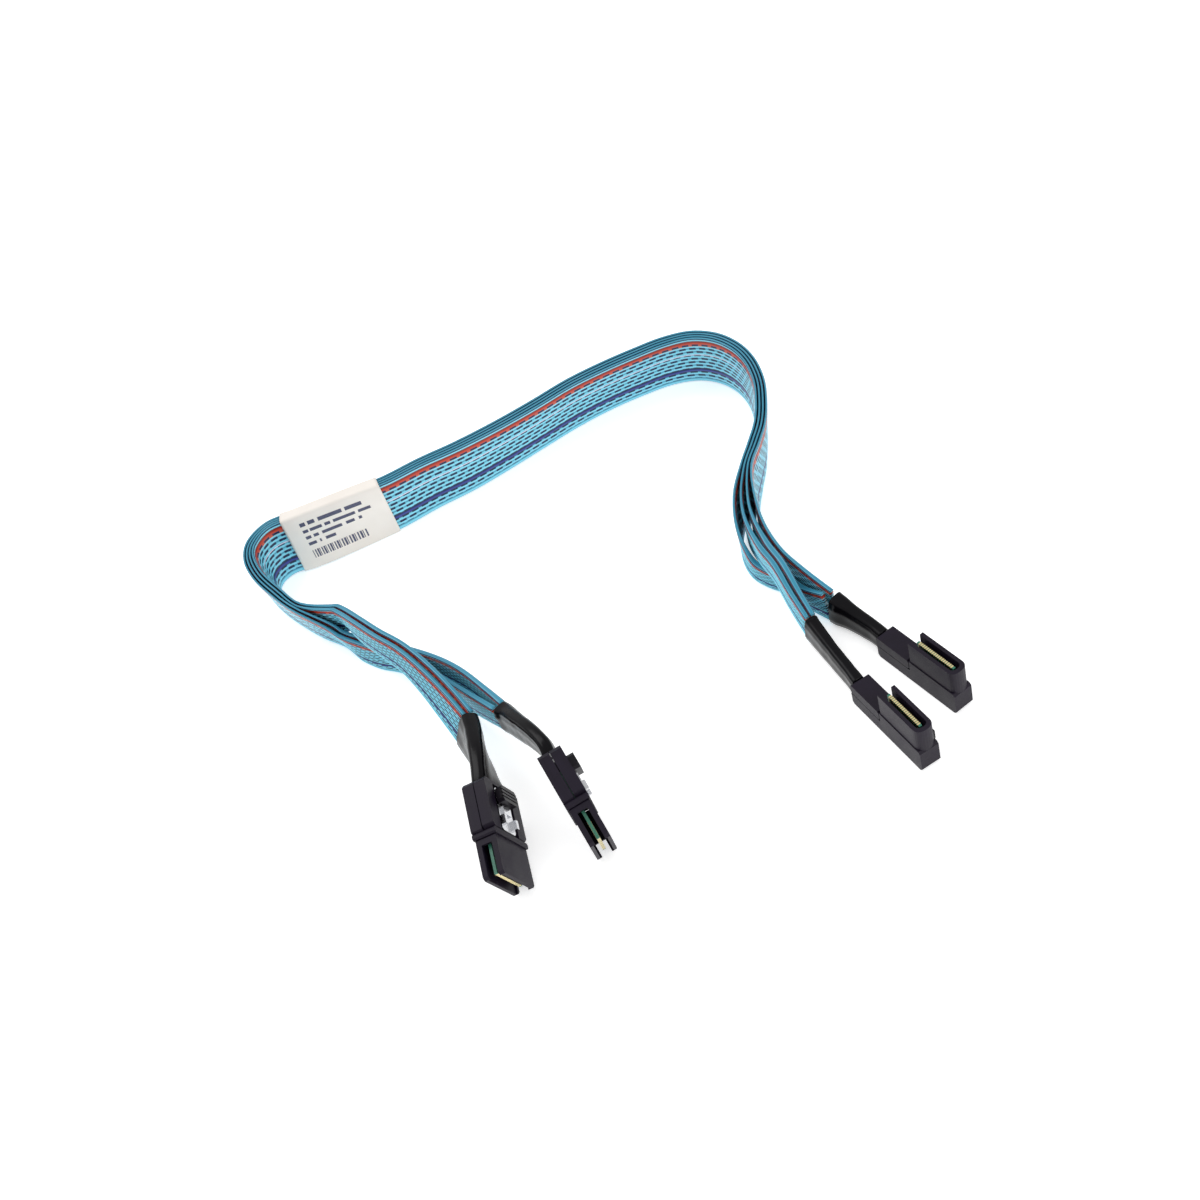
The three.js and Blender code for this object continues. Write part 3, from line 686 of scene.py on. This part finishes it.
def grained(name, colours, roughness, grain_mm, depth, shine=0.2):
    material, tree, shader = new_material(name, {"IOR": 1.52, "Specular IOR Level": shine})
    place = add(tree, "ShaderNodeTexCoord")
    grain = add(tree, "ShaderNodeTexNoise", {"Scale": 1 / (grain_mm * MM), "Detail": 2.0},
                {"Vector": place.outputs["Object"]})
    cloud = add(tree, "ShaderNodeTexNoise", {"Scale": 1 / (CLOUD_MM * MM), "Detail": 3.0},
                {"Vector": place.outputs["Object"]})
    tone = add(tree, "ShaderNodeMix",
               {"data_type": "RGBA", 6: linear(colours[0]), 7: linear(colours[1])},
               {"Factor": cloud.outputs[0]})
    gloss = add(tree, "ShaderNodeMapRange", {"To Min": roughness[0], "To Max": roughness[1]},
                {"Value": cloud.outputs[0]})
    bump = add(tree, "ShaderNodeBump", {"Strength": depth, "Distance": 0.00008},
               {"Height": grain.outputs[0]})
    tree.links.new(tone.outputs[2], shader.inputs["Base Color"])
    tree.links.new(gloss.outputs[0], shader.inputs["Roughness"])
    tree.links.new(bump.outputs[0], shader.inputs["Normal"])
    return material


# Spark-eroded PBT: grain of about 0.25 mm softens every highlight.
shell_plastic = grained("Moulded black PBT", ("#0f0915", "#1b1325"), (0.4, 0.58), 0.25, 0.45)
# Polished PBT: a thumb-worn button shines more than the shell.
button_plastic = grained("Polished black PBT", ("#0f0c12", "#19151d"), (0.26, 0.42), 0.3, 0.15)
# Hot-melt polyamide: a dull cast block that holds the wire ends.
cast_block = grained("Cast black polyamide", ("#1a181d", "#26232a"), (0.55, 0.7), 0.4, 0.4)
# Shrunk polyolefin tube: glossy black with long soft ripples.
shrink_tube = grained("Shrunk black polyolefin", ("#050407", "#0c0b0f"), (0.16, 0.3), 1.4, 0.4,
                      shine=0.13)

dress(shell_plastic, *nodes_ending("_base", "_cover"), *bases)
dress(button_plastic, *nodes_ending("_button"))
dress(cast_block, *nodes_ending("_mould"))
dress(shrink_tube, *sleeves)
print("plastics on", len(nodes_ending("_base", "_cover", "_button", "_mould")), "nodes")

# %% [markdown]
# ## Metal, card and label
# The latch is stamped from bright stainless strip, which keeps fine rolling lines. The card is
# glass epoxy under green solder mask, and its fingers are gold over nickel. The label is matt
# white vinyl.

# %% Stainless steel
# Bright-rolled stainless: a mirror broken by 0.1 mm rolling lines.
ROLLING_LINES = (9000.0, 400.0, 9000.0)
stainless, tree, shader = new_material("Rolled stainless steel", {
    "Base Color": linear("#d9dadd"), "Metallic": 1.0, "Roughness": 0.2})
place = add(tree, "ShaderNodeTexCoord")
rolled = add(tree, "ShaderNodeVectorMath", {"operation": "MULTIPLY", 1: ROLLING_LINES},
             {0: place.outputs["Object"]})
lines = add(tree, "ShaderNodeTexNoise", {"Scale": 1.0, "Detail": 2.0},
            {"Vector": rolled.outputs[0]})
spread = add(tree, "ShaderNodeMapRange", {"To Min": 0.12, "To Max": 0.3},
             {"Value": lines.outputs[0]})
tree.links.new(spread.outputs[0], shader.inputs["Roughness"])
dress(stainless, *nodes_ending("_latch"))
print("steel on", len(nodes_ending("_latch")), "latches")

# %% Gold, vinyl and ink
def mottled(name, settings, colours, patch_mm, detail=2.0):
    material, tree, shader = new_material(name, settings)
    place = add(tree, "ShaderNodeTexCoord")
    patches = add(tree, "ShaderNodeTexNoise", {"Scale": 1 / (patch_mm * MM), "Detail": detail},
                  {"Vector": place.outputs["Object"]})
    tone = add(tree, "ShaderNodeMix",
               {"data_type": "RGBA", 6: linear(colours[0]), 7: linear(colours[1])},
               {"Factor": patches.outputs[0]})
    tree.links.new(tone.outputs[2], shader.inputs["Base Color"])
    return material


# Gold over nickel: warm and bright, a little uneven where it has been plugged in.
gold = mottled("Gold plate over nickel", {"Metallic": 1.0, "Roughness": 0.25},
               ("#f6e6b8", "#e6cc8c"), 1.5)
# Matt white vinyl: an even off-white with faint handling marks.
vinyl = mottled("Matt white vinyl", {"Roughness": 0.55, "IOR": 1.46},
                ("#f1ebe4", "#e6dfd7"), 9, detail=4.0)
# Thermal-transfer ink: dark slate, slightly broken at the edges.
ink = mottled("Thermal-transfer ink", {"Roughness": 0.5}, ("#2c2f4a", "#5d6078"), 0.6)
dress(gold, *contacts)
dress(vinyl, label)
dress(ink, label_print)
print("gold on", len(contacts), "sets of fingers")

# %% Card
# Solder mask over glass epoxy: deep green with the weave, 0.5 mm, just showing.
WEAVE_MM = 0.5
card_green, tree, shader = new_material("Green solder mask on glass epoxy",
                                        {"Roughness": 0.38, "IOR": 1.55})
place = add(tree, "ShaderNodeTexCoord")
weave = add(tree, "ShaderNodeTexChecker", {
    "Scale": 1 / (WEAVE_MM * MM), "Color1": linear("#2f7a60"), "Color2": linear("#2a6b56")},
    {"Vector": place.outputs["Object"]})
tree.links.new(weave.outputs[0], shader.inputs["Base Color"])
dress(card_green, *nodes_ending("_card"))
print("solder mask on", len(nodes_ending("_card")), "cards")

# %% [markdown]
# ## Floor and light
# The cable lies on a plain white board under a wide, even light, so the board goes to white and
# the object keeps only a faint contact shadow. One large lamp from behind and left shapes the
# ribs, and a smaller one in front opens the dark sides of the plugs.

# %% Floor
BOARD_HALF, BOARD_Z = 3, -0.0003
mesh = bpy.data.meshes.new("board")
corners = ((-1, -1), (1, -1), (1, 1), (-1, 1))
mesh.from_pydata([(x * BOARD_HALF, y * BOARD_HALF, BOARD_Z) for x, y in corners], [],
                 [(0, 1, 2, 3)])
board = new_object("board", mesh)
# White laminate: plain, matt and pale, with a little light of its own that keeps it white.
laminate = new_material("White laminate board", {
    "Base Color": linear("#f4f4f4"), "Roughness": 0.8,
    "Emission Color": linear("#ffffff"), "Emission Strength": 0.5})[0]
dress(laminate, board)
print("board is", 2 * BOARD_HALF, "m square")

# %% Light
world = bpy.data.worlds.new("studio")
world.use_nodes = True
backdrop = world.node_tree.nodes["Background"]
backdrop.inputs["Color"].default_value = linear("#ffffff")
backdrop.inputs["Strength"].default_value = 0.72
bpy.context.scene.world = world

# Each lamp: where it is, what it is aimed at, its size in metres and its power in watts.
LAMPS = {
    "soft_box": ((-0.5, 0.55, 0.9), (0, 0.08, 0), 0.7, 4.5),
    "front_fill": ((0.5, -0.7, 0.8), (0, 0.05, 0), 0.6, 3.5),
}
for name, (at, aim, size, power) in LAMPS.items():
    light = bpy.data.lights.new(name, "AREA")
    light.size = size
    light.energy = power
    lamp = new_object(name, light)
    lamp.location = at
    lamp.rotation_euler = (Vector(aim) - Vector(at)).to_track_quat("-Z", "Y").to_euler()
bpy.context.scene.view_settings.view_transform = "Standard"  # keeps white white
